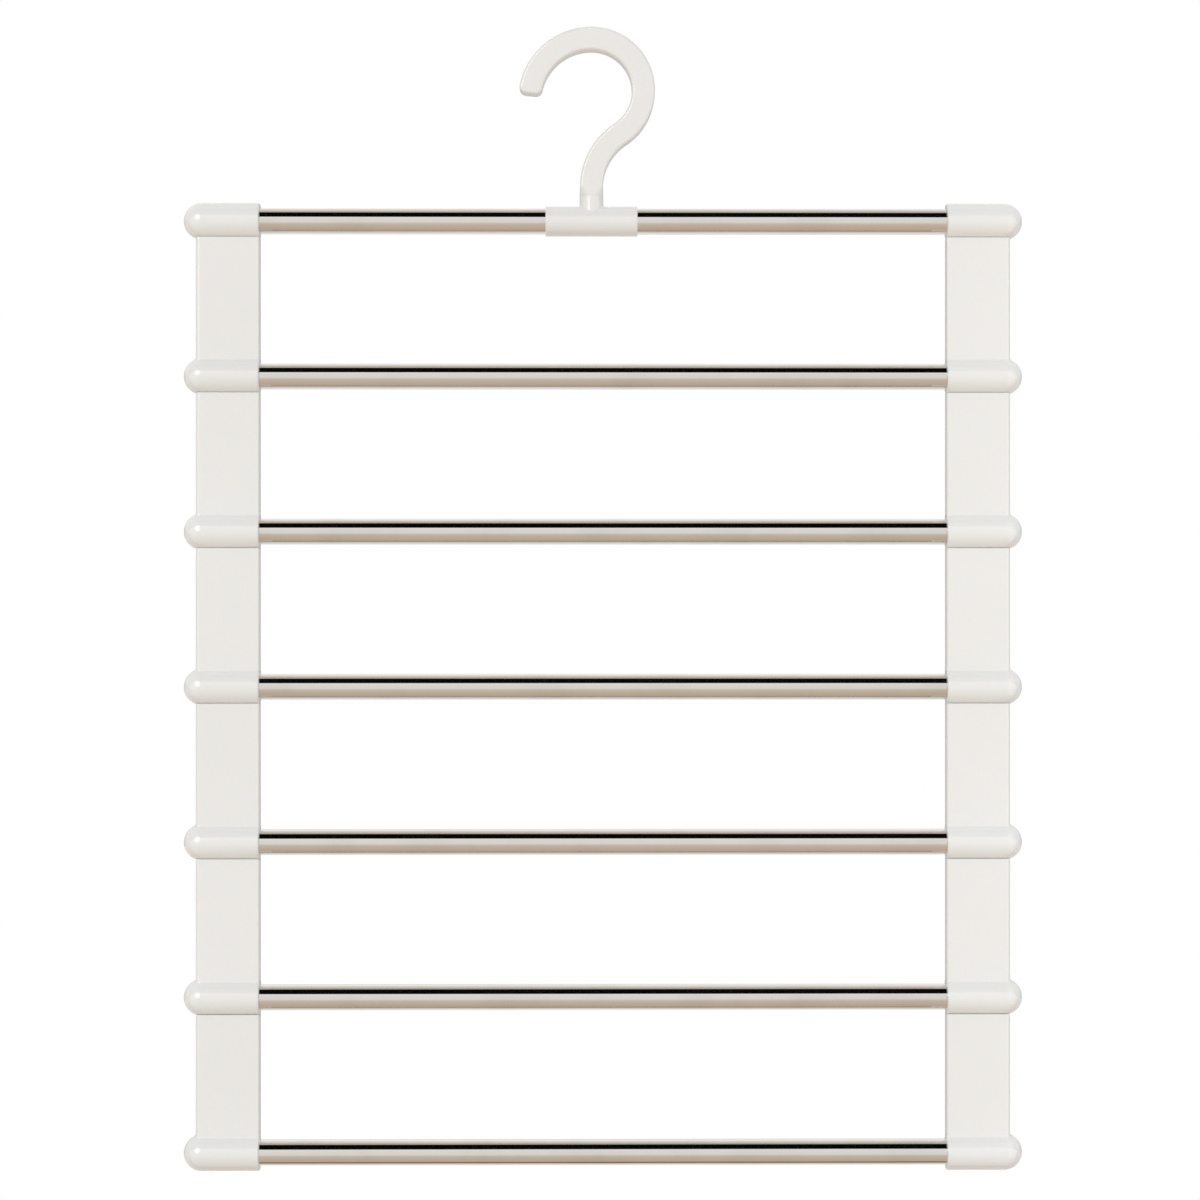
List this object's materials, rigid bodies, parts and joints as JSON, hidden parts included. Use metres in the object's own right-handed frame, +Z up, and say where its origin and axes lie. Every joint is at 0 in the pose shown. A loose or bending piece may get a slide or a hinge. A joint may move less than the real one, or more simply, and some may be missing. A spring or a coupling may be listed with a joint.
{
  "type": "multi-tier trouser hanger",
  "caption": "Multi-tier trouser hanger: a moulded hook turns on the top bar, and hinged moulded side links carry polished tube bars one under another.",
  "frame": {"origin": "middle of the hook's seat, on the axis of its bend, where a wardrobe rail goes", "axes": "+Z up, +X along the bars to the right seen from the front, front faces -Y; the rail runs along Y"},
  "size_m": [0.389, 0.0168, 0.5302],
  "materials": {
    "white_plastic": "gloss",
    "polished_steel": "polished"
  },
  "bodies": {
    "hook": {"hook": "white_plastic"},
    "tier_1": {"bar_1": "polished_steel", "top_cap_left": "white_plastic", "top_cap_right": "white_plastic"},
    "tier_2": {"bar_2": "polished_steel", "side_link_left_1": "white_plastic", "side_link_right_1": "white_plastic"},
    "tier_3": {"bar_3": "polished_steel", "side_link_left_2": "white_plastic", "side_link_right_2": "white_plastic"},
    "tier_4": {"bar_4": "polished_steel", "side_link_left_3": "white_plastic", "side_link_right_3": "white_plastic"},
    "tier_5": {"bar_5": "polished_steel", "side_link_left_4": "white_plastic", "side_link_right_4": "white_plastic"},
    "tier_6": {"bar_6": "polished_steel", "side_link_left_5": "white_plastic", "side_link_right_5": "white_plastic"},
    "tier_7": {"bar_7": "polished_steel", "side_link_left_6": "white_plastic", "side_link_right_6": "white_plastic"}
  },
  "joints": [
    {"name": "hook_turn", "type": "hinge", "parent": "hook", "child": "tier_1", "pos_m": [0.0055, 0, -0.0604], "axis": [1, 0, 0], "range_deg": [-155, 155]},
    {"name": "tier_2_swing", "type": "hinge", "parent": "tier_1", "child": "tier_2", "pos_m": [0.0055, 0, -0.0604], "axis": [1, 0, 0], "range_deg": [-12, 12]},
    {"name": "tier_3_swing", "type": "hinge", "parent": "tier_2", "child": "tier_3", "pos_m": [0.0055, 0, -0.1324], "axis": [1, 0, 0], "range_deg": [-12, 12]},
    {"name": "tier_4_swing", "type": "hinge", "parent": "tier_3", "child": "tier_4", "pos_m": [0.0055, 0, -0.2044], "axis": [1, 0, 0], "range_deg": [-12, 12]},
    {"name": "tier_5_swing", "type": "hinge", "parent": "tier_4", "child": "tier_5", "pos_m": [0.0055, 0, -0.2764], "axis": [1, 0, 0], "range_deg": [-12, 12]},
    {"name": "tier_6_swing", "type": "hinge", "parent": "tier_5", "child": "tier_6", "pos_m": [0.0055, 0, -0.3484], "axis": [1, 0, 0], "range_deg": [-12, 12]},
    {"name": "tier_7_swing", "type": "hinge", "parent": "tier_6", "child": "tier_7", "pos_m": [0.0055, 0, -0.4204], "axis": [1, 0, 0], "range_deg": [-12, 12]}
  ]
}
